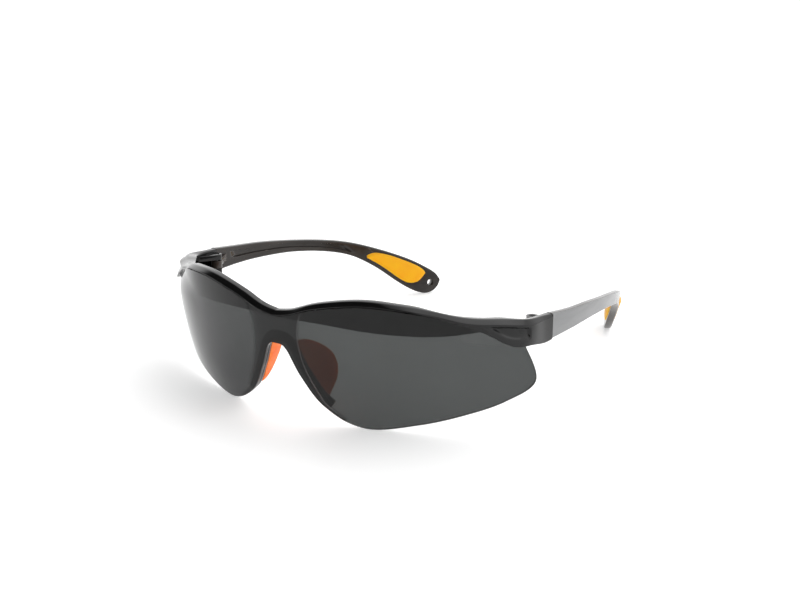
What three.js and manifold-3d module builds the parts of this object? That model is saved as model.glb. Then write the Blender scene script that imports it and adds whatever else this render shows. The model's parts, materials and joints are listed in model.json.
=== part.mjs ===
// Wraparound safety glasses: a one-piece smoked lens under a slim brow frame, with folding temples on screw
// hinges, soft grips at the temple ends and a snap-in nosepiece with two soft pads.
// Millimetres, +Z up. The lens faces -Y, the temples run back along +Y and the wearer's left is +X.
// The glasses stand open on a table: the lens and the temple tips touch z = 0, the origin is under the middle.
import * as THREE from 'three';
import { mergeVertices } from 'three/addons/utils/BufferGeometryUtils.js';
import Module from 'manifold-3d';

const wasm = await Module();
wasm.setup();

// ---------------------------------------------------------------- driving dimensions
const GAP = 0.3; // left between neighbouring pieces

// The lens and the brow follow one barrel-shaped wrap surface that leans forward at the top.
const WRAP_RADIUS = 88;
const BELLY_RADIUS = 150.5;
const BELLY_HEIGHT = 16.9;
const FRONT_LEAN = THREE.MathUtils.degToRad(13.5);
// Towards the temples the surface also tucks inwards, sooner at the brow than lower down.
const TUCK_RATE = 0.15; // millimetres for each degree past the start
const TUCK_START_TOP = 27.5;
const TUCK_START_LOW = 50.7;
const TUCK_LOW_HEIGHT = 18;
const TUCK_TOP_HEIGHT = 34;
const TUCK_EASE = 5; // degrees over which it sets in

const LENS_THICK = 2;
const LENS_COVER = 1.4; // brow height above the lens's top edge
const LENS_END_ANGLE = 47.5; // where the lens's top edge ends, inside the end piece
// The lens's lower edge from the middle of the nose arch outwards: [degrees round the wrap, height].
const LENS_LOWER = [
  [0, 27.3], [2.4, 25.7], [5.2, 16.4], [9.7, 5.9], [18, -1.2],
  [29.4, -0.3], [39.8, 1.6], [48.4, 3.6], [55.5, 7.8], [53.9, 21.3],
];

// The brow's top edge, in the same way.
const BROW_TOP = [[0, 38.2], [10.7, 42.3], [21.4, 43.5], [32, 40.1], [42.7, 33.9], [53.4, 28.6]];
const BROW_END_ANGLE = 46;
const BROW_FRONT = -0.1; // depth of the brow's front face at its foot, with the lens's front face at 0
const BROW_CREST = 1.7; // depth at its top edge
const BROW_BACK = 3.9;
const BROW_EDGE = 0.4; // chamfer
const BROW_SINK = 0.5; // how far the bar sinks inside the end pieces
const BROW_TALL = 1.1; // height of the brow's front face
// Lower edge of the flange behind the lens.
const FLANGE_LOWER = [
  [0, 35.6], [7.6, 35.6], [13.7, 34.8], [19.4, 33.5], [26.5, 31.8], [33.7, 30], [39.1, 29], [47, 28],
];
const FLANGE_THICK = 1;

// End piece and hinge of the left side. The right side is its mirror image.
const BREAK_Y = 47; // back face of the end piece, where the temple starts
const HINGE_OUTER_X = 70.8;
const TEMPLE_THICK = 2.8;
const HINGE_X = 65;
const HINGE_Y = 43.6;
const BARREL_RADIUS = 2;
const HINGE_TOP = 36.2;
const KNUCKLE_TOP = 33;
const KNUCKLE_BOTTOM = 30.2;
const HINGE_BOTTOM = 27.4;
const LUG_TOP = 35.3;
const LUG_BOTTOM = 28;
const END_PIECE_THICK = 3.1;

const SCREW_RADIUS = 0.8;
const SCREW_HEAD_RADIUS = 1.45;
const SCREW_HEAD_HEIGHT = 0.7;
const SCREW_BORE_RADIUS = SCREW_RADIUS + 0.27;
const SCREW_SLOT = 0.4;
const SCREW_END = LUG_BOTTOM + 0.8;

// Temple: plan curve [y, x] of its middle plane, and its upper and lower edges [y, z].
const TEMPLE_START = BREAK_Y + GAP;
const TEMPLE_PLAN = [
  [TEMPLE_START - 1, 69.3], [62, 69.4], [77, 68.1], [92, 65.9], [107, 62], [122, 55.8], [137, 48], [154, 39.6],
];
const TEMPLE_UPPER = [
  [TEMPLE_START, 36], [61, 34.3], [75, 32.8], [90, 30.6], [105, 28], [118, 24.9],
  [130, 20.4], [141, 15.2], [148.5, 10.2], [151.4, 7.2], [152.4, 4.6],
];
const TEMPLE_LOWER = [
  [TEMPLE_START, 27.5], [61, 27.6], [75, 27.2], [90, 26], [105, 23.5], [117.2, 19.9],
  [127, 14], [136, 5.9], [142.6, 0.2], [149.3, 0], [152, 3.4],
];
// The rear end leans, its lower edge nearer the head.
const TIP_LEAN = 0.14;
const LEAN_START = 95;
const LEAN_FULL = 140;
const LEAN_HEIGHT = 12; // the height that keeps its place
const TEMPLE_EDGE = 0.7; // rounding of the long edges
const CHANNEL_DEPTH = 0.45; // shallow channel along the inner face
const CHANNEL_START = 55;
const CHANNEL_END = 113;
const CORD_HOLE = { y: 148.9, z: 4.4, radius: 1.1 };

// Soft grip, moulded through a window near the temple's end: its outline's upper and lower edges [y, z].
const GRIP_UPPER = [[124, 19], [127.3, 19.7], [132.6, 18.2], [138.1, 15.6], [143.7, 12.5], [146.3, 10.4], [147.2, 9]];
const GRIP_LOWER = [[124, 18], [128.3, 14.9], [131.9, 11.8], [135.8, 8.1], [139.5, 5.6], [143.5, 5.5], [147, 8.3]];
const GRIP_PROUD = 0.8; // how far it stands out of each face
const POCKET_FLOOR = 0.6; // from the temple's middle plane
const WINDOW_SCALE = 0.5;

// Nosepiece: a hard clip behind the lens's nose arch, and a soft pad on each of its arms.
const CLIP_THICK = 1.4;
const CLIP_WIDTH = 3;
const CLIP_SETBACK = 0.3; // from the lens's edge
const CLIP_LOWEST = 0.345; // share of LENS_LOWER that each arm follows
const PAD_THICK = 2;
const PAD_DEPTH = 11.5;
const PAD_FLARE = 3.2; // how far each pad leans away from the nose at its back edge
const PAD_TOP = 27;
const PAD_BOTTOM = 8;

// ---------------------------------------------------------------- curves
const radians = THREE.MathUtils.degToRad;
const lerp = THREE.MathUtils.lerp;

// A smooth curve through points, as a function of a share from 0 to 1 that counts points evenly.
function curveThrough(points) {
  const spline = new THREE.SplineCurve(points.map(([a, b]) => new THREE.Vector2(a, b)));
  return (share) => spline.getPoint(share);
}

// The same for a half outline that starts on the middle plane: shares run from -1 to 1.
function mirroredCurve(points) {
  const other = points.slice(1).reverse().map(([a, b]) => [-a, b]);
  const whole = curveThrough([...other, ...points]);
  return (share) => whole((share + 1) / 2);
}

// The second coordinate of a curve at a given first coordinate, found by halving.
function heightAt(curve, first) {
  let low = 0;
  let high = 1;
  for (let step = 0; step < 30; step++) {
    const middle = (low + high) / 2;
    if (curve(middle).x < first) low = middle;
    else high = middle;
  }
  return curve(low).y;
}

const lensLower = mirroredCurve(LENS_LOWER);
const browTopHalf = mirroredCurve(BROW_TOP);
const browTop = (angle) => heightAt((share) => browTopHalf(share), Math.abs(angle));
const templePlan = curveThrough(TEMPLE_PLAN);
const flangeLower = curveThrough(FLANGE_LOWER);

// A point of the wrap surface: degrees round it, height up it, and depth behind the lens's front face.
function wrap(angle, height, depth) {
  const belly = BELLY_RADIUS - Math.sqrt(BELLY_RADIUS ** 2 - (height - BELLY_HEIGHT) ** 2);
  const up = THREE.MathUtils.smoothstep(height, TUCK_LOW_HEIGHT, TUCK_TOP_HEIGHT);
  const past = Math.abs(angle) - lerp(TUCK_START_LOW, TUCK_START_TOP, up);
  const tuck = (TUCK_RATE * (past + Math.hypot(past, TUCK_EASE))) / 2;
  const radius = WRAP_RADIUS - belly - tuck - depth;
  const a = radians(angle);
  return new THREE.Vector3(radius * Math.sin(a), WRAP_RADIUS - radius * Math.cos(a), height)
    .applyAxisAngle(new THREE.Vector3(1, 0, 0), FRONT_LEAN);
}

// A point of the left temple: y and z in its side view, and the distance outwards from its middle plane.
function beside(y, z, outwards) {
  const x = heightAt(templePlan, y);
  const slope = heightAt(templePlan, y + 0.5) - heightAt(templePlan, y - 0.5);
  const length = Math.hypot(1, slope);
  const lean = TIP_LEAN * THREE.MathUtils.smoothstep(y, LEAN_START, LEAN_FULL) * (z - LEAN_HEIGHT);
  return new THREE.Vector3(x + lean + outwards / length, y - (outwards * slope) / length, z);
}

// ---------------------------------------------------------------- solids
// The ring's corners in its own flat plane, counter-clockwise.
function flatten(ring) {
  const normal = new THREE.Vector3();
  ring.forEach((p, i) => {
    const q = ring[(i + 1) % ring.length];
    normal.add(new THREE.Vector3().crossVectors(p, q));
  });
  const turn = new THREE.Quaternion().setFromUnitVectors(normal.normalize(), new THREE.Vector3(0, 0, 1));
  return ring.map((p) => {
    const q = p.clone().applyQuaternion(turn);
    return new THREE.Vector2(q.x, q.y);
  });
}

// Joins rings with equal numbers of corners into one closed body with flat ends.
function loft(rings) {
  const count = rings[0].length;
  const faces = [];
  for (let i = 0; i + 1 < rings.length; i++) {
    for (let j = 0; j < count; j++) {
      const next = (j + 1) % count;
      const [a, b, c, d] = [i * count + j, i * count + next, (i + 1) * count + next, (i + 1) * count + j];
      faces.push(a, b, c, a, c, d);
    }
  }
  const last = (rings.length - 1) * count;
  for (const [a, b, c] of THREE.ShapeUtils.triangulateShape(flatten(rings[0]), [])) faces.push(a, c, b);
  for (const [a, b, c] of THREE.ShapeUtils.triangulateShape(flatten(rings.at(-1)), [])) {
    faces.push(last + a, last + b, last + c);
  }
  const geometry = new THREE.BufferGeometry();
  geometry.setFromPoints(rings.flat());
  geometry.setIndex(faces);
  return geometry;
}

// A geometry as a manifold solid, turned the right way out.
function solidOf(geometry) {
  const bare = geometry.clone();
  bare.deleteAttribute('normal');
  bare.deleteAttribute('uv');
  const merged = mergeVertices(bare, 1e-4);
  const make = (triVerts) =>
    new wasm.Manifold(new wasm.Mesh({ numProp: 3, vertProperties: merged.attributes.position.array, triVerts }));
  const triVerts = new Uint32Array(merged.index.array);
  const made = make(triVerts);
  return made.volume() > 0 ? made : make(triVerts.reverse());
}

function geometryOf(solid) {
  const { vertProperties, triVerts } = solid.getMesh();
  const geometry = new THREE.BufferGeometry();
  geometry.setAttribute('position', new THREE.BufferAttribute(vertProperties, 3));
  geometry.setIndex(new THREE.BufferAttribute(triVerts, 1));
  geometry.computeVertexNormals();
  return geometry;
}

const loftSolid = (rings) => solidOf(loft(rings));
const mirrored = (solid) => solid.mirror([1, 0, 0]);

// An upright cylinder between two heights.
function upright(x, y, bottom, top, radius, sides = 20) {
  const geometry = new THREE.CylinderGeometry(radius, radius, top - bottom, sides);
  geometry.rotateX(Math.PI / 2);
  geometry.translate(x, y, (top + bottom) / 2);
  return solidOf(geometry);
}

// An upright prism over a plan outline.
function prism(corners, bottom, top) {
  const shape = new THREE.Shape(corners.map(([x, y]) => new THREE.Vector2(x, y)));
  const geometry = new THREE.ExtrudeGeometry(shape, { depth: top - bottom, bevelEnabled: false });
  geometry.translate(0, 0, bottom);
  return solidOf(geometry);
}

const shares = (count, from = 0, to = 1) => Array.from({ length: count + 1 }, (_, i) => lerp(from, to, i / count));

// ---------------------------------------------------------------- lens
// One shell from end to end. A margin grows it, for the groove that holds it.
function lensSolid(margin = 0) {
  const rings = shares(64, -1, 1).map((share) => {
    const lower = lensLower(share);
    const angle = share * LENS_END_ANGLE;
    const upper = new THREE.Vector2(angle, browTop(angle) - LENS_COVER + margin);
    const further = 2 * share * margin; // degrees
    lower.y -= margin;
    lower.x += further;
    upper.x += further;
    const rung = shares(6).map((up) => lower.clone().lerp(upper, up));
    return [
      ...rung.map((p) => wrap(p.x, p.y, -margin)),
      ...rung.toReversed().map((p) => wrap(p.x, p.y, LENS_THICK + margin)),
    ];
  });
  return loftSolid(rings);
}

// ---------------------------------------------------------------- brow frame
// The bar over the lens's top edge, with a thin flange behind the lens.
function browBar() {
  const rings = shares(48, -1, 1).map((share) => {
    const angle = share * BROW_END_ANGLE;
    const sunk = BROW_SINK * THREE.MathUtils.smoothstep(Math.abs(angle), BROW_END_ANGLE - 8, BROW_END_ANGLE);
    const top = browTop(angle) - sunk;
    const back = BROW_BACK - sunk;
    const lip = browTop(angle) - BROW_TALL;
    const flange = heightAt(flangeLower, Math.abs(angle));
    const flangeFront = LENS_THICK + GAP;
    const flangeBack = flangeFront + FLANGE_THICK;
    const waist = lerp(flange, lip, 0.5);
    const corners = [
      [BROW_FRONT, lip], [BROW_FRONT, lip + BROW_EDGE - sunk / 2], [BROW_CREST, top],
      [back - BROW_EDGE, top], [back, top - BROW_EDGE], [back, lip - BROW_EDGE],
      [flangeBack, waist], [flangeBack, flange], [flangeFront, flange], [flangeFront, waist], [flangeFront, lip],
    ];
    return corners.map(([depth, height]) => wrap(angle, height, depth));
  });
  return loftSolid(rings);
}

// The left end piece: it leaves the brow, widens downwards, turns the corner and runs back to the hinge.
function endPiece() {
  const corner = (x, y, z) => new THREE.Vector3(x, y, z);
  // Along the wrap: degrees round it, depth of the crest, the front and the back, drop of the crest, height of the
  // lower edge.
  const onWrap = [
    [36, 1.9, 0.3, 3.4, 0.4, browTop(36) - 0.8], [40, 1.5, -0.6, 4, 0, 33.6], [43, 1.3, -1, 4.3, -0.1, 31.3],
    [47, 1.2, -1.2, 4.4, -0.1, 27.4], [50.4, 1, -1.5, 4.5, -0.1, 23.5],
  ].map(([angle, crest, front, back, drop, low]) => {
    const top = browTop(angle) - drop;
    const brink = Math.max(browTop(angle) - BROW_TALL + 0.2, (top + low) / 2);
    return [
      wrap(angle, top, crest), wrap(angle, brink, front), wrap(angle, low, front), wrap(angle, low, back),
      wrap(angle, top, back),
    ];
  });
  const inner = HINGE_OUTER_X - END_PIECE_THICK;
  const stations = [
    ...onWrap,
    [
      corner(68.8, 33.4, 36.7), corner(70.7, 33.6, 35), corner(71.8, 33.2, 29), corner(68.4, 35.2, 29),
      corner(66.2, 35.3, 36.5),
    ],
    [
      corner(69.6, 41.3, 36.2), corner(70.5, 41.5, 35), corner(70.7, 42.2, 27.4), corner(67.7, 42.5, 27.6),
      corner(67.5, 42, 36),
    ],
    [
      corner(HINGE_OUTER_X - 0.6, BREAK_Y, HINGE_TOP), corner(HINGE_OUTER_X, BREAK_Y, HINGE_TOP - 0.8),
      corner(HINGE_OUTER_X, BREAK_Y, HINGE_BOTTOM), corner(inner, BREAK_Y, HINGE_BOTTOM),
      corner(inner, BREAK_Y, HINGE_TOP),
    ],
  ];
  const edges = stations[0].map((_, i) => new THREE.CatmullRomCurve3(stations.map((station) => station[i])));
  const rings = shares(24).map((share) => {
    const corners = edges.map((edge) => edge.getPoint(share));
    return corners.flatMap((p, i) =>
      [corners.at(i - 1), corners[(i + 1) % corners.length]].map((other) =>
        p.clone().lerp(other, Math.min(BROW_EDGE / p.distanceTo(other), 0.3)),
      ),
    );
  });
  return loftSolid(rings);
}

// The two fixed lugs of the left hinge, joined to the end piece's inner side.
function hingeLugs() {
  const inner = HINGE_OUTER_X - END_PIECE_THICK;
  const plan = [
    [inner + 1, HINGE_Y - 9], [inner + 1, HINGE_Y + 1.6], [HINGE_X, HINGE_Y + BARREL_RADIUS - 0.1],
    [HINGE_X - BARREL_RADIUS, HINGE_Y], [HINGE_X - BARREL_RADIUS, HINGE_Y - 2.2],
  ];
  const lug = (bottom, top) =>
    prism(plan, bottom, top).add(upright(HINGE_X, HINGE_Y, bottom, top, BARREL_RADIUS));
  return lug(KNUCKLE_TOP + GAP, LUG_TOP).add(lug(LUG_BOTTOM, KNUCKLE_BOTTOM - GAP));
}

function screwSpace() {
  const bore = upright(HINGE_X, HINGE_Y, SCREW_END - GAP, HINGE_TOP, SCREW_BORE_RADIUS);
  const seat = upright(HINGE_X, HINGE_Y, LUG_TOP - SCREW_HEAD_HEIGHT - GAP, HINGE_TOP, SCREW_HEAD_RADIUS + GAP);
  return bore.add(seat);
}

function browFrame() {
  const side = endPiece().add(hingeLugs()).subtract(screwSpace()).subtract(lensSolid(GAP));
  return browBar().add(side).add(mirrored(side));
}

// ---------------------------------------------------------------- hinge screw
function hingeScrew() {
  const shank = upright(HINGE_X, HINGE_Y, SCREW_END, LUG_TOP - SCREW_HEAD_HEIGHT / 2, SCREW_RADIUS, 16);
  const head = upright(HINGE_X, HINGE_Y, LUG_TOP - SCREW_HEAD_HEIGHT, LUG_TOP, SCREW_HEAD_RADIUS, 24);
  const slot = solidOf(new THREE.BoxGeometry(2 * SCREW_HEAD_RADIUS + 1, SCREW_SLOT, 2 * SCREW_SLOT)
    .rotateZ(radians(35))
    .translate(HINGE_X, HINGE_Y, LUG_TOP));
  return shank.add(head).subtract(slot);
}

// ---------------------------------------------------------------- temple and grip
// The corners of a temple section: [outwards, z] from one edge height to the other, with the inner channel.
function templeSection(bottom, top, channel) {
  const half = TEMPLE_THICK / 2;
  const tall = top - bottom;
  const edge = Math.min(TEMPLE_EDGE, tall * 0.3);
  const at = (share) => lerp(bottom, top, share);
  return [
    [half, bottom + edge], [half, top - edge], [half - edge, top], [edge - half, top], [-half, top - edge],
    [-half, at(0.68)], [channel - half, at(0.62)], [channel - half, at(0.42)], [-half, at(0.36)],
    [-half, bottom + edge], [edge - half, bottom], [half - edge, bottom],
  ];
}

function templeBar() {
  const upper = curveThrough(TEMPLE_UPPER);
  const lower = curveThrough(TEMPLE_LOWER);
  const rings = shares(56).map((share) => {
    const a = upper(share);
    const b = lower(share);
    b.y = Math.max(0, b.y); // flat under the tip, where it stands
    const inChannel = Math.min(a.x - CHANNEL_START, CHANNEL_END - a.x);
    const channel = CHANNEL_DEPTH * THREE.MathUtils.smoothstep(inChannel, -1, 3) + 0.001;
    return templeSection(b.y, a.y, channel).map(([outwards, z]) =>
      beside(lerp(b.x, a.x, (z - b.y) / (a.y - b.y)), z, outwards),
    );
  });
  return loftSolid(rings);
}

// The moving middle knuckle of the hinge, with the web that joins it to the temple's inner face.
function knuckle() {
  const inner = HINGE_OUTER_X - TEMPLE_THICK;
  const plan = [
    [HINGE_X + BARREL_RADIUS - 0.02, HINGE_Y], [HINGE_X + BARREL_RADIUS - 0.02, TEMPLE_START],
    [inner + 0.6, TEMPLE_START], [inner + 0.6, TEMPLE_START + 6],
    [HINGE_X + 0.2, HINGE_Y + BARREL_RADIUS - 0.05],
  ];
  return prism(plan, KNUCKLE_BOTTOM, KNUCKLE_TOP)
    .add(upright(HINGE_X, HINGE_Y, KNUCKLE_BOTTOM, KNUCKLE_TOP, BARREL_RADIUS))
    .subtract(upright(HINGE_X, HINGE_Y, KNUCKLE_BOTTOM - 1, KNUCKLE_TOP + 1, SCREW_BORE_RADIUS));
}

// A slab in the grip's outline, grown by a margin or scaled about its middle, between two distances outwards.
function gripSlab(from, to, { margin = 0, scale = 1, crown = 0 } = {}) {
  const upper = curveThrough(GRIP_UPPER);
  const lower = curveThrough(GRIP_LOWER);
  const middle = upper(0.5).clone().lerp(lower(0.5), 0.5);
  const place = (p, side) => {
    const q = p.clone().sub(middle).multiplyScalar(scale);
    q.y += side * margin;
    q.x += Math.sign(q.x) * margin * Math.min(1, Math.abs(q.x) / 12);
    return q.add(middle);
  };
  const rings = shares(18).map((share) => {
    const a = place(upper(share), 1);
    const b = place(lower(share), -1);
    const inset = Math.min(0.8, (a.y - b.y) * 0.3);
    const corner = (height, outwards) =>
      beside(lerp(b.x, a.x, (height - b.y) / (a.y - b.y)), height, outwards);
    const ends = Math.min(share, 1 - share) < 1e-6 ? 0 : 1;
    const low = from - (crown < 0 ? crown : 0) * (1 - ends);
    const high = to - (crown > 0 ? crown : 0) * (1 - ends);
    return [
      corner(b.y, low + (crown < 0 ? 0.5 : 0)), corner(b.y, high - (crown > 0 ? 0.5 : 0)), corner(b.y + inset, high),
      corner(a.y - inset, high), corner(a.y, high - (crown > 0 ? 0.5 : 0)), corner(a.y, low + (crown < 0 ? 0.5 : 0)),
      corner(a.y - inset, low), corner(b.y + inset, low),
    ];
  });
  return loftSolid(rings);
}

function grip() {
  const half = TEMPLE_THICK / 2;
  const seat = POCKET_FLOOR + GAP;
  return gripSlab(seat, half + GRIP_PROUD, { crown: 0.5 })
    .add(gripSlab(-half - GRIP_PROUD, -seat, { crown: -0.5 }))
    .add(gripSlab(-seat - 0.2, seat + 0.2, { scale: WINDOW_SCALE }));
}

function temple() {
  const half = TEMPLE_THICK / 2;
  const across = 2 * TEMPLE_THICK;
  const hole = new THREE.CylinderGeometry(CORD_HOLE.radius, CORD_HOLE.radius, across, 16);
  const at = beside(CORD_HOLE.y, CORD_HOLE.z, 0);
  const outwards = beside(CORD_HOLE.y, CORD_HOLE.z, 1).sub(at);
  hole.applyQuaternion(new THREE.Quaternion().setFromUnitVectors(new THREE.Vector3(0, 1, 0), outwards));
  hole.translate(at.x, at.y, at.z);
  return templeBar()
    .add(knuckle())
    .subtract(gripSlab(POCKET_FLOOR, half + 2, { margin: GAP }))
    .subtract(gripSlab(-half - 2, -POCKET_FLOOR, { margin: GAP }))
    .subtract(gripSlab(-half, half, { margin: GAP, scale: WINDOW_SCALE }))
    .subtract(solidOf(hole));
}

// ---------------------------------------------------------------- nosepiece
// The clip: a strip behind the lens that follows the nose arch.
function noseClip() {
  const rings = shares(44, -CLIP_LOWEST, CLIP_LOWEST).map((share) => {
    const edge = lensLower(share);
    const ahead = lensLower(share + 0.01).sub(lensLower(share - 0.01));
    const perDegree = radians(WRAP_RADIUS); // millimetres along the wrap for each degree
    const onto = new THREE.Vector2(-ahead.y, ahead.x * perDegree).normalize(); // from the edge onto the lens
    const at = (away, depth) => wrap(edge.x + (onto.x * away) / perDegree, edge.y + onto.y * away, depth);
    const front = LENS_THICK + GAP;
    const back = front + CLIP_THICK;
    const edgeOfClip = CLIP_SETBACK + CLIP_WIDTH;
    return [at(CLIP_SETBACK, front), at(CLIP_SETBACK, back), at(edgeOfClip, back), at(edgeOfClip, front)];
  });
  return loftSolid(rings);
}

// The left pad: a crescent wing that runs back from the clip's arm and leans away from the nose.
function nosePad() {
  const clipBack = LENS_THICK + GAP + CLIP_THICK + GAP;
  const noseEdge = (height) => {
    let low = 0;
    let high = 0.45;
    for (let step = 0; step < 30; step++) {
      const middle = (low + high) / 2;
      if (lensLower(middle).y > height) low = middle;
      else high = middle;
    }
    return Math.max(2.9, lensLower(low).x);
  };
  const rings = shares(20).map((share) => {
    const height = lerp(PAD_TOP, PAD_BOTTOM, share);
    const reach = Math.max(0.8, PAD_DEPTH * Math.sin(Math.PI * lerp(0.06, 0.97, share ** 0.85)) ** 0.7);
    const root = wrap(noseEdge(height), height, clipBack);
    const side = (back, outwards) => {
      const lean = PAD_FLARE * (back / PAD_DEPTH) ** 1.6;
      return new THREE.Vector3(root.x + 0.4 + lean + outwards, root.y + back, root.z + 0.08 * back);
    };
    const thick = PAD_THICK * Math.min(1, 0.35 + 3 * Math.min(share, 1 - share));
    const rim = Math.min(0.7, reach * 0.3);
    return [
      side(0, 0), side(reach * 0.35, 0), side(reach * 0.7, 0), side(reach - rim, 0.1), side(reach, thick * 0.5),
      side(reach - rim, thick - 0.1), side(reach * 0.7, thick), side(reach * 0.35, thick), side(0, thick),
    ];
  });
  return loftSolid(rings);
}

// ---------------------------------------------------------------- materials
const plastic = (color, roughness, more = {}) => new THREE.MeshStandardMaterial({ color, roughness, metalness: 0, ...more });
const materials = {
  smokedLens: plastic(0x2c2e2e, 0.05, { transparent: true, opacity: 0.85 }),
  glossBlack: plastic(0x141414, 0.15),
  smokePlastic: plastic(0x2b2725, 0.2),
  orangeRubber: plastic(0xff8a10, 0.55),
  steel: new THREE.MeshStandardMaterial({ color: 0x9a9a9a, roughness: 0.35, metalness: 1 }),
};

// ---------------------------------------------------------------- the glasses
const glasses = new THREE.Group();

function piece(name, solid, material) {
  const mesh = new THREE.Mesh(geometryOf(solid), material);
  mesh.name = name;
  return mesh;
}

// A left piece and its mirror image on the right.
function pair(name, solid, material) {
  const left = piece(`left_${name}`, solid, material);
  const right = left.clone();
  right.name = `right_${name}`;
  right.scale.x = -1;
  glasses.add(left, right);
}

glasses.add(piece('lens', lensSolid(), materials.smokedLens));
glasses.add(piece('brow_frame', browFrame(), materials.glossBlack));
glasses.add(piece('nose_clip', noseClip(), materials.glossBlack));
pair('nose_pad', nosePad(), materials.orangeRubber);
pair('hinge_screw', hingeScrew(), materials.steel);
pair('temple', temple(), materials.smokePlastic);
pair('temple_grip', grip(), materials.orangeRubber);

// The origin goes under the middle of the whole, on the table.
const box = new THREE.Box3().setFromObject(glasses);
glasses.position.set(0, -(box.min.y + box.max.y) / 2, -box.min.z);

export default glasses;
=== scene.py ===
# Looks of the wraparound safety glasses. Every visible piece is rebuilt finely over its CAD node.
import json
import math

import bmesh
import bpy
import numpy as np
from mathutils import Matrix, Vector


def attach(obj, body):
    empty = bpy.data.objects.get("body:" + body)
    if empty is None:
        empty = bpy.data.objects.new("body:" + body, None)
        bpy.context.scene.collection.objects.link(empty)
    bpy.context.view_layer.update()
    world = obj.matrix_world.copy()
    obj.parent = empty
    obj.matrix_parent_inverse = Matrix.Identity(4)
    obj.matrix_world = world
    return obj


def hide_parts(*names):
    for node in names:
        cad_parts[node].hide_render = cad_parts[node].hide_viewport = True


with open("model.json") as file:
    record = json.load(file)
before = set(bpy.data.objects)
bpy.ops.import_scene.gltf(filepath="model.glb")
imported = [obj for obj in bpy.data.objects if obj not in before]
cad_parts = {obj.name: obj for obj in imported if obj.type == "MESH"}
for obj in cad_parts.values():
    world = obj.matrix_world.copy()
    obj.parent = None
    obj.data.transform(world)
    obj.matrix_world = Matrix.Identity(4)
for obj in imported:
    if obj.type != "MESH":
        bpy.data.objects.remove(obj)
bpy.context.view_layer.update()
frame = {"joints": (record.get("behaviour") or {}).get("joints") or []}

MM = 0.001
SIDES = (("left", 1), ("right", -1))

# ---------------------------------------------------------------- dimensions
# In millimetres, on the CAD model's own drawing axes. They follow the CAD model, apart from the brow's ends,
# the top of the hinge break, the temple tips, the groove and the cord hole, which are finer or larger here.
GAP = 0.3
WRAP_RADIUS = 88
BELLY_RADIUS = 150.5
BELLY_HEIGHT = 16.9
FRONT_LEAN = math.radians(13.5)
TUCK_RATE = 0.15
TUCK_START_TOP = 27.5
TUCK_START_LOW = 50.7
TUCK_LOW_HEIGHT = 18
TUCK_TOP_HEIGHT = 34
TUCK_EASE = 5

LENS_THICK = 2
LENS_COVER = 1.4
LENS_END_ANGLE = 47.5
LENS_LOWER = [
    (0, 27.3), (2.4, 25.7), (5.2, 16.4), (9.7, 5.9), (18, -1.2),
    (29.4, -0.3), (39.8, 1.6), (48.4, 3.6), (55.5, 7.8), (53.9, 21.3),
]
# The border between each eye's lens zone and the saddle over the nose: (height, degrees round the wrap).
CREASE = [(2, 14), (5.9, 11.3), (8, 10), (13, 8.5), (20, 6.7), (27, 5.8), (33, 5.8), (38, 6.7), (41, 8.2)]
CREASE_STEP = 0.35  # how far the saddle sits behind the two zones
CREASE_WIDTH = 0.8  # degrees
SADDLE = "saddle"  # the lens mesh's attribute: 1 between the creases, 0 on the two lobes; it marks where the lens material paints the saddle darker as painted shade

BROW_TOP = [(0, 38.2), (10.7, 42.3), (21.4, 43.5), (32, 40.1), (42.7, 33.9), (53.4, 29.8)]
BROW_FRONT = -0.1
BROW_CREST = 1.7
BROW_BACK = 3.9
BROW_TALL = 1.1
FLANGE_LOWER = [
    (0, 35.6), (7.6, 35.6), (13.7, 34.8), (19.4, 33.5), (26.5, 31.8), (33.7, 30), (39.1, 29), (47, 28),
]
FLANGE_THICK = 1
BREAK_Y = 47
HINGE_X = 65
HINGE_Y = 43.6
HINGE_OUTER_X = 70.8
END_PIECE_THICK = 3.1
HINGE_TOP = 35.9
HINGE_BOTTOM = 27.4
LUG_TOP = 35.3
LUG_BOTTOM = 28
KNUCKLE_TOP = 33
KNUCKLE_BOTTOM = 30.2
BARREL_RADIUS = 2
SCREW_HEAD_RADIUS = 1.45

TEMPLE_THICK = 2.8
TEMPLE_START = BREAK_Y + GAP
TEMPLE_PLAN = [
    (TEMPLE_START - 1, 69.3), (62, 69.4), (77, 68.1), (92, 65.9),
    (107, 62), (122, 55.8), (137, 48), (154, 39.6),
]
TEMPLE_UPPER = [
    (TEMPLE_START, 36), (61, 34.3), (75, 32.8), (90, 30.6), (105, 28), (118, 24.9),
    (130, 20.4), (141, 15.2), (148, 10.8), (151.6, 7.9), (153, 5.5),
]
TEMPLE_LOWER = [
    (TEMPLE_START, 27.5), (61, 27.6), (75, 27.2), (90, 26), (105, 23.5), (117.2, 19.9),
    (127, 14), (136, 6.2), (141.5, 2.2), (146, 0.3), (149.5, 0.6), (152, 2.5), (153, 4.5),
]
TIP_LEAN = 0.14
LEAN_START = 95
LEAN_FULL = 140
LEAN_HEIGHT = 12
TEMPLE_EDGE = 0.7
CHANNEL_DEPTH = 0.8
CHANNEL_START = 55
CHANNEL_END = 113
CORD_HOLE = (148.9, 4.4)
CORD_HOLE_RADIUS = 1.4

GRIP_UPPER = [
    (124, 19), (127.3, 19.7), (132.6, 18.2), (138.1, 15.6), (143.7, 12.5), (146.3, 10.4), (147.2, 9),
]
GRIP_LOWER = [
    (124, 18), (128.3, 14.9), (131.9, 11.8), (135.8, 8.1), (139.5, 5.6), (143.5, 5.5), (147, 8.3),
]
GRIP_PROUD = 0.8

CLIP_THICK = 1.4
CLIP_WIDTH = 3
CLIP_SETBACK = 0.3
CLIP_LOWEST = 0.345
PAD_THICK = 2
PAD_DEPTH = 11.5
PAD_FLARE = 3.2
PAD_TOP = 27
PAD_BOTTOM = 8

hinge = next(j for j in frame["joints"] if j["name"] == "left_temple_hinge")
ORIGIN_Y = HINGE_Y - hinge["pos_m"][1] / MM  # where the row's origin lies on the drawing's y axis


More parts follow.
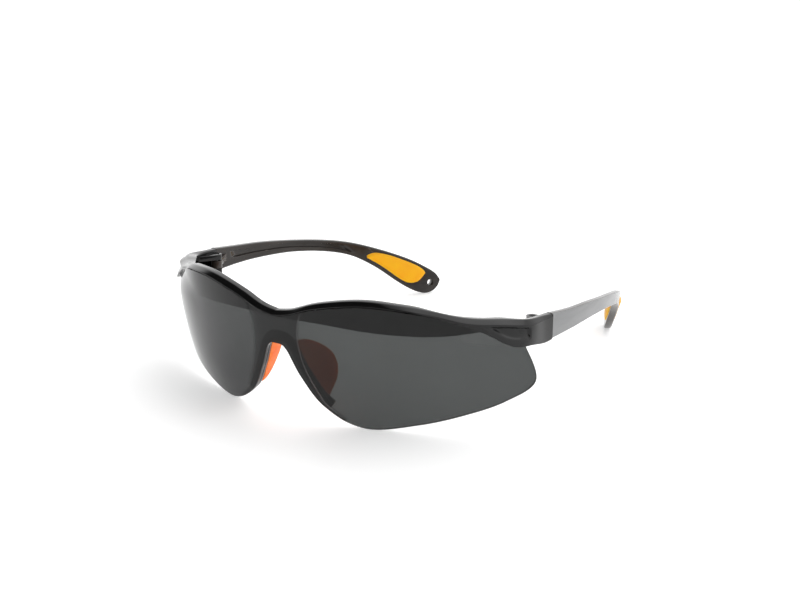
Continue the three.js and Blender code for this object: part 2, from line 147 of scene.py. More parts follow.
# ---------------------------------------------------------------- curves
def smooth(value, start, end):
    """0 before start, 1 after end and a smooth ramp between."""
    t = np.clip((np.asarray(value, float) - start) / (end - start), 0, 1)
    return t * t * (3 - 2 * t)


def spline(knots, values):
    """A natural cubic spline through values at knots, as a function that takes arrays."""
    x = np.asarray(knots, float)
    y = np.asarray(values, float).reshape(len(x), -1)
    step = np.diff(x)
    rows = np.eye(len(x))
    right = np.zeros_like(y)
    for i in range(1, len(x) - 1):
        rows[i, i - 1:i + 2] = step[i - 1], 2 * (step[i - 1] + step[i]), step[i]
        right[i] = 6 * ((y[i + 1] - y[i]) / step[i] - (y[i] - y[i - 1]) / step[i - 1])
    bend = np.linalg.solve(rows, right)

    def at(where):
        where = np.atleast_1d(np.asarray(where, float))
        i = np.clip(np.searchsorted(x, where) - 1, 0, len(x) - 2)
        a = ((x[i + 1] - where) / step[i])[:, None]
        b = 1 - a
        square = (step[i] ** 2)[:, None]
        return a * y[i] + b * y[i + 1] + ((a ** 3 - a) * bend[i] + (b ** 3 - b) * bend[i + 1]) * square / 6

    return at


def outline(points):
    """A Catmull-Rom curve through points, at shares from 0 to 1 that count the points evenly."""
    points = np.asarray(points, float)
    last = len(points) - 1

    def at(share):
        place = np.atleast_1d(np.asarray(share, float)) * last
        i = np.minimum(place.astype(int), last - 1)
        w = (place - i)[:, None]
        p0, p1, p2, p3 = (points[np.clip(i + k, 0, last)] for k in (-1, 0, 1, 2))
        v0, v1 = (p2 - p0) / 2, (p3 - p1) / 2
        return (2 * p1 - 2 * p2 + v0 + v1) * w ** 3 + (3 * p2 - 3 * p1 - 2 * v0 - v1) * w ** 2 + v0 * w + p1

    return at


def mirrored_outline(points):
    """The same for a half outline that starts on the middle plane, at shares from -1 to 1."""
    whole = outline([(-a, b) for a, b in reversed(points[1:])] + list(points))
    return lambda share: whole((np.asarray(share, float) + 1) / 2)


def height_curve(points):
    """Second coordinate as a function of the first."""
    whole = outline(points)(np.linspace(0, 1, 1000))
    return lambda where: np.interp(where, whole[:, 0], whole[:, 1])


lens_lower = mirrored_outline(LENS_LOWER)
brow_top = height_curve([(-a, b) for a, b in reversed(BROW_TOP[1:])] + BROW_TOP)
flange_height = height_curve(FLANGE_LOWER)
crease_angle = height_curve(CREASE)
temple_plan = height_curve(TEMPLE_PLAN)


def wrap(angle, height, depth):
    """Points on the wrap, from degrees round it, height up it and depth behind the lens's face."""
    angle, height, depth = np.broadcast_arrays(np.asarray(angle, float), height, depth)
    belly = BELLY_RADIUS - np.sqrt(BELLY_RADIUS ** 2 - (height - BELLY_HEIGHT) ** 2)
    raised = smooth(height, TUCK_LOW_HEIGHT, TUCK_TOP_HEIGHT)
    start = TUCK_START_LOW + (TUCK_START_TOP - TUCK_START_LOW) * raised
    past = np.abs(angle) - start
    radius = WRAP_RADIUS - belly - depth - TUCK_RATE * (past + np.hypot(past, TUCK_EASE)) / 2
    a = np.radians(angle)
    y = WRAP_RADIUS - radius * np.cos(a)
    c, s = math.cos(FRONT_LEAN), math.sin(FRONT_LEAN)
    return np.stack([radius * np.sin(a), y * c - height * s, y * s + height * c], -1)


def beside(y, z, outwards):
    """Points of the left temple, from its side view and the distance outwards from its middle."""
    y, z, outwards = np.broadcast_arrays(np.asarray(y, float), z, outwards)
    x = temple_plan(y)
    slope = temple_plan(y + 0.5) - temple_plan(y - 0.5)
    length = np.hypot(1, slope)
    lean = TIP_LEAN * smooth(y, LEAN_START, LEAN_FULL) * (z - LEAN_HEIGHT)
    return np.stack([x + lean + outwards / length, y - outwards * slope / length, z], -1)


# ---------------------------------------------------------------- meshes
def place(points, side=1):
    """Drawing millimetres to row metres, mirrored for the right side."""
    return (np.asarray(points, float).reshape(-1, 3) - (0, ORIGIN_Y, 0)) * (side * MM, MM, MM)


def make_mesh(name, points, faces, material, side=1, sharp=40):
    """A mesh object; faces are turned over on the mirrored side."""
    if side < 0:
        faces = [f[::-1] for f in faces]
    mesh = bpy.data.meshes.new(name)
    mesh.from_pydata(place(points, side).tolist(), [], [list(map(int, f)) for f in faces])
    mesh.validate()
    mesh.shade_smooth()
    mesh.set_sharp_from_angle(angle=math.radians(sharp))
    mesh.materials.append(material)
    obj = bpy.data.objects.new(name, mesh)
    bpy.context.scene.collection.objects.link(obj)
    return obj


def loft_faces(rings, ring_size):
    """Faces that join rings of points into a closed tube."""
    faces = []
    for i in range(rings - 1):
        for j in range(ring_size):
            k = (j + 1) % ring_size
            a, b = i * ring_size, (i + 1) * ring_size
            faces.append((a + j, a + k, b + k, b + j))
    faces.append(tuple(reversed(range(ring_size))))
    faces.append(tuple((rings - 1) * ring_size + j for j in range(ring_size)))
    return faces


def loft(name, rings, material, side=1, sharp=40):
    rings = np.asarray(rings, float)
    faces = loft_faces(rings.shape[0], rings.shape[1])
    obj = make_mesh(name, rings.reshape(-1, 3), faces, material, side, sharp)
    turn_out(obj)
    return obj


def turn_out(obj):
    """Faces all point outwards."""
    work = bmesh.new()
    work.from_mesh(obj.data)
    bmesh.ops.recalc_face_normals(work, faces=work.faces)
    work.to_mesh(obj.data)
    work.free()


def rounded_ring(corners, radius, steps=5):
    """A ring of corners with each one rounded off. corners: (corners, 3), radius: one or one per corner."""
    corners = np.asarray(corners, float)
    count = len(corners)
    radius = np.broadcast_to(radius, count)
    ring = []
    for i in range(count):
        p, before, after = corners[i], corners[i - 1], corners[(i + 1) % count]
        into = p + (before - p) * min(radius[i] / np.linalg.norm(before - p), 0.45)
        out = p + (after - p) * min(radius[i] / np.linalg.norm(after - p), 0.45)
        for t in np.linspace(0, 1, steps):
            ring.append((1 - t) ** 2 * into + 2 * t * (1 - t) * p + t ** 2 * out)
    return np.array(ring)


def join(name, objs):
    """One object from several, with their materials kept."""
    with bpy.context.temp_override(active_object=objs[0], selected_editable_objects=objs):
        bpy.ops.object.join()
    objs[0].name = name
    objs[0].data.name = name
    return objs[0]


def apply_modifiers(obj):
    graph = bpy.context.evaluated_depsgraph_get()
    mesh = bpy.data.meshes.new_from_object(obj.evaluated_get(graph))
    obj.modifiers.clear()
    obj.data = mesh


def finish_piece(obj, body, slot, *nodes):
    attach(obj, body)
    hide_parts(*nodes)


# ---------------------------------------------------------------- materials
class Nodes:
    """A short way to write a material's node tree."""

    def __init__(self, name):
        self.material = bpy.data.materials.new(name)
        self.material.use_nodes = True
        self.tree = self.material.node_tree
        self.shader = self.tree.nodes["Principled BSDF"]
        self.object_space = self.add("ShaderNodeTexCoord").outputs["Object"]

    def add(self, kind, **settings):
        node = self.tree.nodes.new(kind)
        for key, value in settings.items():
            setattr(node, key, value)
        return node

    def link(self, source, target):
        self.tree.links.new(source, target)

    def set(self, **values):
        for key, value in values.items():
            self.shader.inputs[key.replace("_", " ")].default_value = value

    def noise(self, scale, detail=3.0, roughness=0.55, stretch=(1, 1, 1)):
        """Noise over the object, scale in features per metre."""
        mapping = self.add("ShaderNodeMapping")
        mapping.inputs["Scale"].default_value = stretch
        texture = self.add("ShaderNodeTexNoise")
        texture.inputs["Scale"].default_value = scale
        texture.inputs["Detail"].default_value = detail
        texture.inputs["Roughness"].default_value = roughness
        self.link(self.object_space, mapping.inputs["Vector"])
        self.link(mapping.outputs["Vector"], texture.inputs["Vector"])
        return texture.outputs["Fac"]

    def remap(self, value, low, high, to_low, to_high):
        node = self.add("ShaderNodeMapRange")
        for key, number in zip(("From Min", "From Max", "To Min", "To Max"), (low, high, to_low, to_high)):
            node.inputs[key].default_value = number
        self.link(value, node.inputs["Value"])
        return node.outputs["Result"]

    def mix(self, factor, first, second):
        node = self.add("ShaderNodeMix", data_type="RGBA")
        self.link(factor, node.inputs["Factor"])
        for socket, colour in ((node.inputs["A"], first), (node.inputs["B"], second)):
            if hasattr(colour, "links"):
                self.link(colour, socket)
            else:
                socket.default_value = (*colour, 1)
        return node.outputs["Result"]

    def bump(self, height, strength, distance):
        node = self.add("ShaderNodeBump")
        node.inputs["Strength"].default_value = strength
        node.inputs["Distance"].default_value = distance
        self.link(height, node.inputs["Height"])
        return node.outputs["Normal"]

    def edges(self, low=0.52, high=0.62):
        """1 on outer edges, 0 elsewhere."""
        geometry = self.add("ShaderNodeNewGeometry")
        return self.remap(geometry.outputs["Pointiness"], low, high, 0, 1)


def polished_plastic(name, dark, light, roughness, streak=(1, 1, 1)):
    """Glossy moulded plastic: faint flow marks, fine handling scratches and slightly rubbed edges."""
    n = Nodes(name)
    cloud = n.mix(n.remap(n.noise(90, 4, 0.5, streak), 0.35, 0.7, 0, 1), dark, light)
    n.link(n.mix(n.edges(), cloud, tuple(min(1, 2.2 * c) for c in light)), n.shader.inputs["Base Color"])
    n.link(n.remap(n.noise(700, 5, 0.65, (1, 4, 1)), 0.3, 0.75, roughness * 0.7, roughness * 1.5),
           n.shader.inputs["Roughness"])
    n.link(n.bump(n.noise(260, 2, 0.5, streak), 0.05, 0.0002), n.shader.inputs["Normal"])
    n.set(IOR=1.40)
    return n


def temple_plastic():
    """Smoke-brown plastic, with painted light on the temple's outer face: a paler grey base colour that
    stands in for the bright surroundings the face reflects.
    """
    n = polished_plastic("smoke_plastic", (0.016, 0.012, 0.010), (0.030, 0.024, 0.020), 0.14, (3, 0.25, 3))
    inside = n.shader.inputs["Base Color"].links[0].from_socket
    coordinates = n.add("ShaderNodeTexCoord")
    outwards = n.add("ShaderNodeVectorMath", operation="MULTIPLY")
    n.link(coordinates.outputs["Normal"], outwards.inputs[0])
    n.link(coordinates.outputs["Object"], outwards.inputs[1])
    split = n.add("ShaderNodeSeparateXYZ")
    n.link(outwards.outputs[0], split.inputs[0])
    flow = n.remap(n.noise(140, 4, 0.5, (3, 0.25, 3)), 0.3, 0.7, 0, 1)
    # painted reflection: a pale grey base colour on the outer face stands in for the bright surroundings it
    # reflects; the flow noise only varies it
    painted_sheen = n.mix(flow, (0.20, 0.203, 0.206), (0.24, 0.243, 0.246))
    # outside is 1 on the temple's outer face, where the painted reflection goes
    outside = n.remap(split.outputs["X"], 0.02, 0.034, 0, 1)
    n.link(n.mix(outside, inside, painted_sheen), n.shader.inputs["Base Color"])
    return n


def smoked_lens():
    """Polished grey-smoke polycarbonate, deeper where it is seen at a slant, and with painted shade across
    the saddle, which is darkened in the base colour.
    """
    n = Nodes("smoked_lens")
    cloud = n.remap(n.noise(25, 2), 0.3, 0.7, 0, 1)
    tint_and_shade = n.mix(cloud, (0.058, 0.062, 0.061), (0.064, 0.068, 0.067))
    slant = n.add("ShaderNodeLayerWeight").outputs["Facing"]
    tint_and_shade = n.mix(n.remap(slant, 0.15, 0.60, 0, 1), tint_and_shade, (0.014, 0.014, 0.015))
    # painted shade: the saddle between the creases is darkened in the base colour, standing in for the
    # darker surroundings seen in and through it there
    saddle = n.add("ShaderNodeAttribute")
    saddle.attribute_name = SADDLE
    tint_and_shade = n.mix(n.remap(saddle.outputs["Fac"], 0, 1, 0, 0.85), tint_and_shade, (0.004, 0.004, 0.004))
    n.link(tint_and_shade, n.shader.inputs["Base Color"])
    n.link(n.remap(n.noise(500, 5, 0.7), 0.45, 0.85, 0.01, 0.04), n.shader.inputs["Roughness"])
    n.link(n.bump(n.noise(60, 2), 0.02, 0.0002), n.shader.inputs["Normal"])
    n.set(IOR=1.36, Transmission_Weight=1.0)
    return n.material


def soft_rubber(name, colour, darker):
    """Satin rubber: fine moulded texture, cloudy colour, lighter rubbed edges."""
    n = Nodes(name)
    grain = n.noise(5200, 3, 0.6)
    cloud = n.mix(n.remap(n.noise(160, 3), 0.35, 0.7, 0, 1), darker, colour)
    n.link(n.mix(n.edges(0.51, 0.6), cloud, tuple(min(1, c * 1.08 + 0.01) for c in colour)),
           n.shader.inputs["Base Color"])
    n.link(n.remap(n.noise(900, 4), 0.3, 0.7, 0.42, 0.6), n.shader.inputs["Roughness"])
    n.link(n.bump(grain, 0.18, 0.0001), n.shader.inputs["Normal"])
    n.set(IOR=1.48, Specular_IOR_Level=0.25)
    n.set(Subsurface_Weight=0.25, Subsurface_Radius=(0.004, 0.0015, 0.0004), Subsurface_Scale=0.5)
    return n.material


def turned_steel():
    n = Nodes("turned_steel")
    n.link(n.mix(n.remap(n.noise(1500, 3), 0.3, 0.7, 0, 1), (0.42, 0.42, 0.43), (0.62, 0.62, 0.63)),
           n.shader.inputs["Base Color"])
    n.link(n.remap(n.noise(2500, 3), 0.3, 0.7, 0.22, 0.4), n.shader.inputs["Roughness"])
    n.link(n.bump(n.noise(6000, 2), 0.1, 0.00005), n.shader.inputs["Normal"])
    n.set(Metallic=1.0)
    return n.material


LENS = smoked_lens()
GLOSS_BLACK = polished_plastic("gloss_black", (0.003, 0.003, 0.003), (0.006, 0.006, 0.006), 0.08).material
SMOKE = temple_plastic().material
ORANGE = soft_rubber("orange_rubber", (1.0, 0.48, 0.0), (0.98, 0.42, 0.0))
PAD_ORANGE = soft_rubber("pad_rubber", (1.0, 0.20, 0.004), (0.94, 0.15, 0.002))
STEEL = turned_steel()


# ---------------------------------------------------------------- lens
LENS_ROUNDING = 0.35  # of the lens's lower edge


def lens():
    columns, rows, corner = 641, 70, 6
    share = np.linspace(-1, 1, columns)
    lower = lens_lower(share)[:, None]
    angle = share * LENS_END_ANGLE
    upper = np.stack([angle, brow_top(angle) - LENS_COVER], -1)[:, None]
    tall = np.linalg.norm((upper - lower) * (math.radians(WRAP_RADIUS), 1), axis=2, keepdims=True)
    # Round the lower edge over a quarter turn, then climb the face.
    turn = np.linspace(0, math.pi / 2, corner)
    rise = np.concatenate([LENS_ROUNDING * (1 - np.cos(turn)), np.full(rows, LENS_ROUNDING)])
    inset = np.concatenate([LENS_ROUNDING * (1 - np.sin(turn)), np.zeros(rows)])
    climb = np.concatenate([np.zeros(corner), np.linspace(0, 1, rows + 1)[1:] ** 1.1])
    up = (rise / tall[..., 0] + climb * (1 - LENS_ROUNDING / tall[..., 0]))[..., None]
    point = lower + up * (upper - lower)
    a, h = point[..., 0], point[..., 1]
    zone = smooth(np.abs(a) - crease_angle(h), -CREASE_WIDTH / 2, CREASE_WIDTH / 2)
    step = CREASE_STEP * smooth(h, 1, 6) * (1 - zone)
    front = wrap(a, h, inset + step)
    back = wrap(a, h, LENS_THICK - inset)[:, ::-1]
    shield = loft("lens_shield", np.concatenate([front, back], 1), LENS, sharp=50)
    # painted shade: 1 on the saddle, where the lens material darkens the base colour
    darker = np.concatenate([1 - zone, (1 - zone)[:, ::-1]], 1).ravel()
    shield.data.attributes.new(SADDLE, "FLOAT", "POINT").data.foreach_set("value", darker)
    return shield


# ---------------------------------------------------------------- brow frame
BACK_DROP = 0.4  # how far the top face slopes down to its back edge


# The end piece while it still follows the wrap: degrees round it, the depths of the crest, the front
# and the back, and the height of the lower edge.
END_PIECE_ON_WRAP = [
    (36, 1.7, 0.1, 3.9, 36.1), (40, 1.6, -0.6, 4, 33.6), (43, 1.4, -1, 4.3, 31.3),
    (47, 1.2, -1.2, 4.4, 27.4), (50.4, 1, -1.5, 4.5, 23.5),
]
# Then its corners on the way back to the hinge: crest, brink, front low, back low, back top.
END_PIECE_CORNERS = [
    [(68.8, 33.4, 37.3), (70.4, 33.6, 35.6), (70.9, 33.4, 29), (68.2, 35.2, 29), (66.2, 35.3, 36.6)],
    [(69.6, 41.3, 36.4), (70.5, 41.5, 35.2), (70.7, 42.2, 27.4), (67.7, 42.5, 27.6), (67.5, 42, 36.2)],
]


def brow_corners():
    """Corner curves of the left half's section, from the middle to the hinge break."""
    stations = []
    for angle in range(0, 33, 4):
        top = brow_top(angle)
        lip = top - BROW_TALL
        stations.append([
            wrap(angle, top, BROW_CREST), wrap(angle, lip + 0.35, BROW_FRONT), wrap(angle, lip, BROW_FRONT),
            wrap(angle, lip - 0.4, BROW_BACK), wrap(angle, top - BACK_DROP, BROW_BACK),
        ])
    for angle, crest, front, back, low in END_PIECE_ON_WRAP:
        top = brow_top(angle)
        brink = max(top - BROW_TALL + 0.2, (top + low) / 2)
        stations.append([wrap(angle, top, crest), wrap(angle, brink, front), wrap(angle, low, front),
                         wrap(angle, low, back), wrap(angle, top - 2 * BACK_DROP, back)])
    inner = HINGE_OUTER_X - END_PIECE_THICK
    stations += END_PIECE_CORNERS
    stations.append([(HINGE_OUTER_X - 0.6, BREAK_Y, HINGE_TOP), (HINGE_OUTER_X, BREAK_Y, HINGE_TOP - 0.8),
                     (HINGE_OUTER_X, BREAK_Y, HINGE_BOTTOM), (inner, BREAK_Y, HINGE_BOTTOM),
                     (inner, BREAK_Y, HINGE_TOP)])
    stations = np.array(stations, float)
    middle = stations.mean(1)
    knots = np.concatenate([[0], np.cumsum(np.linalg.norm(np.diff(middle, axis=0), axis=1))])
    return spline(knots, stations.reshape(len(knots), -1)), knots[-1]


PANEL_START = 64  # along the brow, where the end piece's hollow begins
PANEL_FULL = 76
PANEL_END = 85.5
PANEL_DEPTH = 1.1
BAND = 0.5  # height of the front face above the hollow
LIP = 1.7  # height of the lip under it


def brow_bar():
    curve, length = brow_corners()
    along = np.linspace(0, length, 320)
    rings = []
    for where, (crest, brink, front_low, back_low, back_top) in zip(along, curve(along).reshape(-1, 5, 3)):
        ring = rounded_ring([back_low, back_top, crest, brink, front_low], (0.5, 0.6, 0.5, 0.3, 0.3), 6)
        start, end = ring[23], ring[24]
        tall = np.linalg.norm(end - start)
        down = np.linspace(0, 1, 26)[1:-1]
        face = start + (end - start) * down[:, None]
        inwards = (back_top - crest) / np.linalg.norm(back_top - crest)
        depth = down * tall
        reach = smooth(where, PANEL_START, PANEL_FULL) * (1 - smooth(where, PANEL_END - 1.2, PANEL_END))
        below_band = smooth(depth, BAND - 0.3, BAND + 0.5)
        above_lip = smooth(tall - depth, LIP - 0.4, LIP + 2)
        hollow = PANEL_DEPTH * reach * below_band * above_lip
        rings.append(np.concatenate([ring[:24], face + hollow[:, None] * inwards, ring[24:]]))
    rings = np.array(rings)
    other = rings[:0:-1] * (-1, 1, 1)
    return loft("brow_bar", np.concatenate([other, rings]), GLOSS_BLACK, sharp=55)


def brow_flange():
    """The thin wall behind the lens, under the bar."""
    angle = np.linspace(-45.5, 45.5, 260)[:, None]
    top = brow_top(angle) - BROW_TALL
    low = flange_height(np.abs(angle))
    front = LENS_THICK + GAP
    back = front + FLANGE_THICK
    up = np.linspace(0, 1, 14)
    foot = 0.3
    turn = np.linspace(0, math.pi, 9)[1:-1]
    face = low + foot + (top - low - foot) * up
    round_depth = (front + back) / 2 - np.cos(turn) * FLANGE_THICK / 2
    round_height = low + foot - foot * np.sin(turn)
    rings = np.concatenate([
        wrap(angle, face[:, ::-1], front), wrap(angle, round_height, round_depth), wrap(angle, face, back),
    ], 1)
    return loft("brow_flange", rings, GLOSS_BLACK)


def prism(name, plan, bottom, top, material, side, radius=0.25):
    """An upright prism over a plan outline, with rounded rims."""
    plan = np.asarray(plan, float)
    middle = plan.mean(0)
    out = plan - middle
    size = np.linalg.norm(out, axis=1, keepdims=True)
    rings = []
    for inset, z in ((radius, bottom), (radius * 0.3, bottom + radius * 0.3), (0, bottom + radius),
                     (0, top - radius), (radius * 0.3, top - radius * 0.3), (radius, top)):
        ring = middle + out * (1 - inset / size)
        rings.append(np.column_stack([ring, np.full(len(ring), z)]))
    return loft(name, rings, material, side, sharp=35)


def barrel_plan(corners, radius, start, end, steps=14):
    """Straight corners followed by the round of a hinge barrel, from one direction to another."""
    turn = np.radians(np.linspace(start, end, steps))
    arc = [(HINGE_X + radius * math.cos(t), HINGE_Y + radius * math.sin(t)) for t in turn]
    return corners + arc


def hinge_lugs(side):
    inner = HINGE_OUTER_X - END_PIECE_THICK + 0.6
    plan = barrel_plan([(inner, HINGE_Y - 8.5), (inner, HINGE_Y + 1.7)], BARREL_RADIUS, 80, 200)
    return [prism("lug", plan, bottom, top, GLOSS_BLACK, side)
            for bottom, top in ((KNUCKLE_TOP + GAP, LUG_TOP), (LUG_BOTTOM, KNUCKLE_BOTTOM - GAP))]


def brow_frame():
    parts = [brow_bar(), brow_flange()]
    for _, side in SIDES:
        parts += hinge_lugs(side)
    return join("brow_frame_visual", parts)


# ---------------------------------------------------------------- temples
def temple(side):
    share = np.linspace(0, 1, 320)
    upper = outline(TEMPLE_UPPER)(share)
    lower = outline(TEMPLE_LOWER)(share)
    lower[:, 1] = np.maximum(lower[:, 1], 0)
    half = TEMPLE_THICK / 2
    rings = []
    for a, b in zip(upper, lower):
        tall = a[1] - b[1]
        edge = min(TEMPLE_EDGE, tall * 0.3)
        in_channel = min(a[0] - CHANNEL_START, CHANNEL_END - a[0])
        channel = CHANNEL_DEPTH * float(smooth(in_channel, -1, 3))
        section = []
        for t in np.linspace(0, math.pi / 2, 6):
            section.append((half - edge + edge * math.cos(t), a[1] - edge + edge * math.sin(t)))
        for t in np.linspace(math.pi / 2, math.pi, 6):
            section.append((edge - half + edge * math.cos(t), a[1] - edge + edge * math.sin(t)))
        for v in np.linspace(0.04, 0.96, 48):
            z = a[1] - edge - v * (tall - 2 * edge)
            dip = channel * float(smooth(v, 0.16, 0.21) * (1 - smooth(v, 0.56, 0.63)))
            section.append((dip - half, z))
        for t in np.linspace(math.pi, 1.5 * math.pi, 6):
            section.append((edge - half + edge * math.cos(t), b[1] + edge + edge * math.sin(t)))
        for t in np.linspace(1.5 * math.pi, 2 * math.pi, 6):
            section.append((half - edge + edge * math.cos(t), b[1] + edge + edge * math.sin(t)))
        section = np.array(section)
        y = b[0] + (a[0] - b[0]) * (section[:, 1] - b[1]) / tall
        rings.append(beside(y, section[:, 1], section[:, 0]))
    bar = loft("temple_bar", rings, SMOKE, side, sharp=50)
    cut_hole(bar, side)
    inner = HINGE_OUTER_X - TEMPLE_THICK + 0.3
    start = TEMPLE_START + 0.2
    corners = [(HINGE_X + BARREL_RADIUS, start), (inner, start), (inner, TEMPLE_START + 6)]
    plan = barrel_plan(corners, BARREL_RADIUS, 100, 360)
    knuckle = prism("knuckle", plan, KNUCKLE_BOTTOM, KNUCKLE_TOP, SMOKE, side, 0.15)
    return bar, knuckle


def cut_hole(bar, side):
    """The cord hole through the tip."""
    y, z = CORD_HOLE
    middle = beside(y, z, 0)
    along = beside(y, z, 1) - middle
    up = np.array([0, 0, 1])
    across = np.cross(up, along)
    turn = np.linspace(0, 2 * math.pi, 33)[:-1]
    circle = CORD_HOLE_RADIUS * (np.cos(turn)[:, None] * across + np.sin(turn)[:, None] * up)
    cutter = loft("cutter", [middle + circle - 3 * along, middle + circle + 3 * along], SMOKE, side)
    cut = bar.modifiers.new("hole", "BOOLEAN")
    cut.operation = "DIFFERENCE"
    cut.object = cutter
    cut.solver = "EXACT"
    apply_modifiers(bar)
    bpy.data.objects.remove(cutter)


def grip_pad(name, side, face):
    """One crowned face of a grip. face is 1 on the outside of the temple and -1 on the inside."""
    share = np.linspace(0, 1, 90)
    upper = outline(GRIP_UPPER)(share)
    lower = outline(GRIP_LOWER)(share)
    across = np.linspace(0, 1, 36)
    half = TEMPLE_THICK / 2
    points = lower[:, None] + across[None, :, None] * (upper - lower)[:, None]
    tall = np.linalg.norm(upper - lower, axis=1)[:, None]
    rim = np.minimum(across, 1 - across)[None] * tall
    ends = np.minimum(share, 1 - share)[:, None] * 26
    near = np.minimum(rim, ends)
    rise = GRIP_PROUD * np.sqrt(1 - (1 - np.clip(near / 1.6, 0, 1)) ** 2)
    top = beside(points[..., 0], points[..., 1], face * (half - 0.25 + rise + 0.25 * smooth(near, 0.5, 3)))
    bottom = beside(points[..., 0], points[..., 1], face * (half - 0.6))
    rows, columns = len(share), len(across)
    faces = []
    for i in range(rows - 1):
        for j in range(columns - 1):
            a, b = i * columns + j, (i + 1) * columns + j
            faces += [(a, b, b + 1, a + 1), tuple(rows * columns + k for k in (a + 1, b + 1, b, a))]
    border = [(i, 0) for i in range(rows)] + [(rows - 1, j) for j in range(1, columns)]
    border += [(i, columns - 1) for i in range(rows - 2, -1, -1)]
    border += [(0, j) for j in range(columns - 2, 0, -1)]
    for (i, j), (k, l) in zip(border, border[1:] + border[:1]):
        a, b = i * columns + j, k * columns + l
        faces.append((a, b, rows * columns + b, rows * columns + a))
    points = np.concatenate([top.reshape(-1, 3), bottom.reshape(-1, 3)])
    pad = make_mesh(name, points, faces, ORANGE, side, 60)
    turn_out(pad)
    return pad


# ---------------------------------------------------------------- nosepiece
def nose_clip():
    share = np.linspace(-CLIP_LOWEST, CLIP_LOWEST, 160)
    edge = lens_lower(share)
    ahead = lens_lower(share + 0.01) - lens_lower(share - 0.01)
    per_degree = math.radians(WRAP_RADIUS)
    onto = np.stack([-ahead[:, 1], ahead[:, 0] * per_degree], -1)
    onto /= np.linalg.norm(onto, axis=1, keepdims=True)
    front = LENS_THICK + GAP
    back = front + CLIP_THICK
    rings = []
    for (angle, height), (da, dh) in zip(edge, onto):
        at = lambda away, depth: wrap(angle + da * away / per_degree, height + dh * away, depth)
        near, far = CLIP_SETBACK, CLIP_SETBACK + CLIP_WIDTH
        rings.append(rounded_ring([at(near, front), at(near, back), at(far, back), at(far, front)], 0.4, 5))
    return loft("nose_clip_visual", rings, GLOSS_BLACK)


def nose_edge(height):
    """Degrees round the wrap of the lens's nasal edge at a height."""
    share = np.linspace(0, 0.45, 400)
    points = lens_lower(share)
    return max(2.9, float(np.interp(-height, -points[:, 1], points[:, 0])))


def nose_pad(name, side):
    clip_back = LENS_THICK + GAP + CLIP_THICK + GAP
    rings = []
    for share in np.linspace(0, 1, 70):
        height = PAD_TOP + (PAD_BOTTOM - PAD_TOP) * share
        bulge = math.sin(math.pi * (0.06 + 0.91 * share ** 0.85))
        reach = max(0.8, PAD_DEPTH * bulge ** 0.7)
        root = wrap(nose_edge(height), height, clip_back)
        thick = PAD_THICK * min(1, 0.35 + 3 * min(share, 1 - share))
        back = np.linspace(0, reach, 20)
        lean = PAD_FLARE * (back / PAD_DEPTH) ** 1.6
        taper = np.sqrt(np.clip(1 - (back / reach) ** 6, 0.02, 1))
        middle = 0.4 + thick / 2
        inner = [root + (middle + l - thick / 2 * t, b, 0.08 * b) for b, l, t in zip(back, lean, taper)]
        outer = [root + (middle + l + thick / 2 * t, b, 0.08 * b) for b, l, t in zip(back, lean, taper)]
        rings.append(inner + outer[::-1])
    return loft(name, rings, PAD_ORANGE, side, 60)


# ---------------------------------------------------------------- screws
def hinge_screw(name, side):
    """A pan head with a slot."""
    turn = np.linspace(0, 2 * math.pi, 49)[:-1]
    rings = []
    for radius, z in ((0.8, LUG_BOTTOM + 0.8), (0.8, LUG_TOP - 0.7), (SCREW_HEAD_RADIUS, LUG_TOP - 0.7),
                      (SCREW_HEAD_RADIUS, LUG_TOP - 0.25), (SCREW_HEAD_RADIUS - 0.12, LUG_TOP - 0.07),
                      (SCREW_HEAD_RADIUS - 0.35, LUG_TOP)):
        rings.append(np.column_stack([HINGE_X + radius * np.cos(turn), HINGE_Y + radius * np.sin(turn),
                                      np.full(len(turn), z)]))
    screw = loft(name, rings, STEEL, side, 30)
    across = np.array([math.cos(math.radians(35)), math.sin(math.radians(35))])
    beside_slot = np.array([-across[1], across[0]])
    middle = np.array([HINGE_X, HINGE_Y])
    plan = [middle + 2 * across * i + 0.2 * beside_slot * j for i, j in ((-1, -1), (1, -1), (1, 1), (-1, 1))]
    rings = [np.column_stack([plan, np.full(4, z)]) for z in (LUG_TOP - 0.4, LUG_TOP + 0.4)]
    slot = loft("slot", rings, STEEL, side)
    cut = screw.modifiers.new("slot", "BOOLEAN")
    cut.object = slot
    cut.solver = "EXACT"
    apply_modifiers(screw)
    bpy.data.objects.remove(slot)
    return screw


# ---------------------------------------------------------------- the object
finish_piece(lens(), "front", "smoked_lens", "lens")
finish_piece(brow_frame(), "front", "gloss_black", "brow_frame")
finish_piece(nose_clip(), "front", "gloss_black", "nose_clip")
for name, side in SIDES:
    body = f"{name}_temple"
    pad = nose_pad(f"{name}_nose_pad_visual", side)
    finish_piece(pad, "front", "orange_rubber", f"{name}_nose_pad")
    finish_piece(hinge_screw(f"{name}_hinge_screw_visual", side), "front", "steel", f"{name}_hinge_screw")
    finish_piece(join(f"{name}_temple_visual", list(temple(side))), body, "smoke_plastic", f"{name}_temple")
    faces = [grip_pad("pad", side, face) for face in (1, -1)]
    grip = join(f"{name}_temple_grip_visual", faces)
    finish_piece(grip, body, "orange_rubber", f"{name}_temple_grip")


# ---------------------------------------------------------------- stage, light and camera
FLOOR_GLOW = 0.50


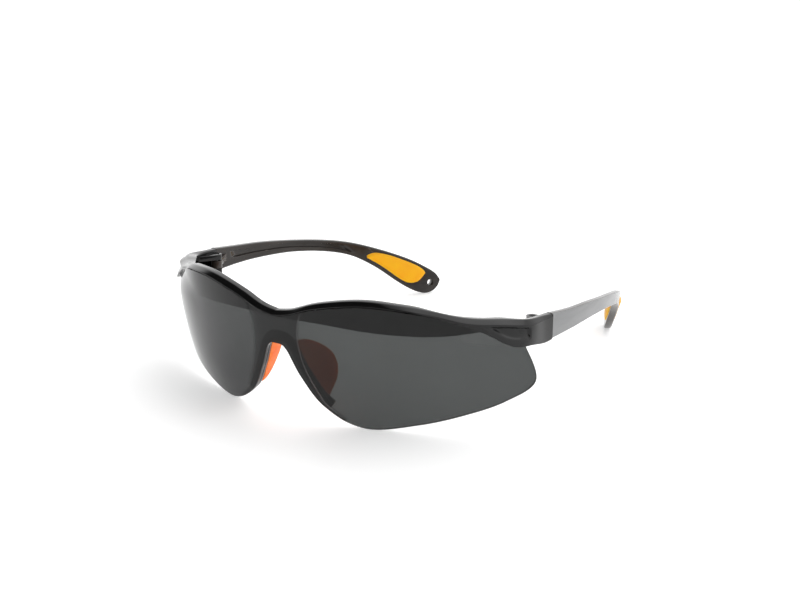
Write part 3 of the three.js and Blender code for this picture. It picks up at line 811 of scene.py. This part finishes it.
def floor():
    n = Nodes("pale_floor")
    n.link(n.mix(n.remap(n.noise(6, 3), 0.3, 0.7, 0, 1), (0.90, 0.90, 0.90), (0.92, 0.92, 0.92)),
           n.shader.inputs["Base Color"])
    n.set(Roughness=0.6, Emission_Color=(1, 1, 1, 1), Emission_Strength=FLOOR_GLOW)
    size = 4
    mesh = bpy.data.meshes.new("floor")
    corners = [(-size, -size, 0), (size, -size, 0), (size, size, 0), (-size, size, 0)]
    mesh.from_pydata(corners, [], [(0, 1, 2, 3)])
    mesh.materials.append(n.material)
    obj = bpy.data.objects.new("floor", mesh)
    bpy.context.scene.collection.objects.link(obj)


def area_light(name, location, target, size, power):
    data = bpy.data.lights.new(name, "AREA")
    data.shape = "RECTANGLE"
    data.size, data.size_y = size
    data.energy = power
    lamp = bpy.data.objects.new(name, data)
    bpy.context.scene.collection.objects.link(lamp)
    lamp.location = location
    lamp.rotation_euler = (Vector(target) - Vector(location)).to_track_quat("-Z", "Y").to_euler()


SKY_DIM = 0.05
SKY_BRIGHT = 1.4
DIM_AXIS = (-0.35, -0.75, 0.55)  # towards the middle of the dim part
DIM_EDGE = (0.15, 0.55)  # cosines from that axis between which the brightness falls
DIM_RISE = (0.17, 0.34)  # sines of the elevations between which it falls, above a bright horizon


def surround():
    """A bright studio, dim overhead and in front of the glasses, with a bright horizon all round."""
    sky = bpy.data.worlds.new("surround")
    sky.use_nodes = True
    tree = sky.node_tree
    background = tree.nodes["Background"]
    background.inputs["Color"].default_value = (1, 1, 1, 1)
    direction = tree.nodes.new("ShaderNodeTexCoord").outputs["Generated"]
    towards = tree.nodes.new("ShaderNodeVectorMath")
    towards.operation = "DOT_PRODUCT"
    towards.inputs[1].default_value = Vector(DIM_AXIS).normalized()
    tree.links.new(direction, towards.inputs[0])
    split = tree.nodes.new("ShaderNodeSeparateXYZ")
    tree.links.new(direction, split.inputs[0])

    def ramp(value, span, to_low, to_high):
        node = tree.nodes.new("ShaderNodeMapRange")
        node.interpolation_type = "SMOOTHSTEP"
        for key, number in zip(("From Min", "From Max", "To Min", "To Max"), (*span, to_low, to_high)):
            node.inputs[key].default_value = number
        tree.links.new(value, node.inputs["Value"])
        return node.outputs["Result"]

    dim = tree.nodes.new("ShaderNodeMath")
    dim.operation = "MULTIPLY"
    tree.links.new(ramp(towards.outputs["Value"], DIM_EDGE, 0, 1), dim.inputs[0])
    tree.links.new(ramp(split.outputs["Z"], DIM_RISE, 0, 1), dim.inputs[1])
    tree.links.new(ramp(dim.outputs["Value"], (0, 1), SKY_BRIGHT, SKY_DIM), background.inputs["Strength"])
    bpy.context.scene.world = sky


def camera():
    """The photograph's viewpoint."""
    right = Vector((0.83310, 0.55303, 0.00997))
    up = Vector((-0.16576, 0.23244, 0.95838))
    back = right.cross(up)
    data = bpy.data.cameras.new("camera")
    data.sensor_width = 36
    data.lens = 73.70
    data.clip_start, data.clip_end = 0.01, 50
    obj = bpy.data.objects.new("camera", data)
    bpy.context.scene.collection.objects.link(obj)
    turn = Matrix((right, up, back)).transposed().to_4x4()
    spot = place([(304.652, -396.284, 188.513)])[0]
    obj.matrix_world = Matrix.Translation(Vector(spot)) @ turn
    bpy.context.scene.camera = obj


floor()
surround()
area_light("top_softbox", (0.1, 0.35, 0.9), (0, 0, 0), (1.1, 0.7), 1.5)
camera()
bpy.context.scene.view_settings.view_transform = "Standard"
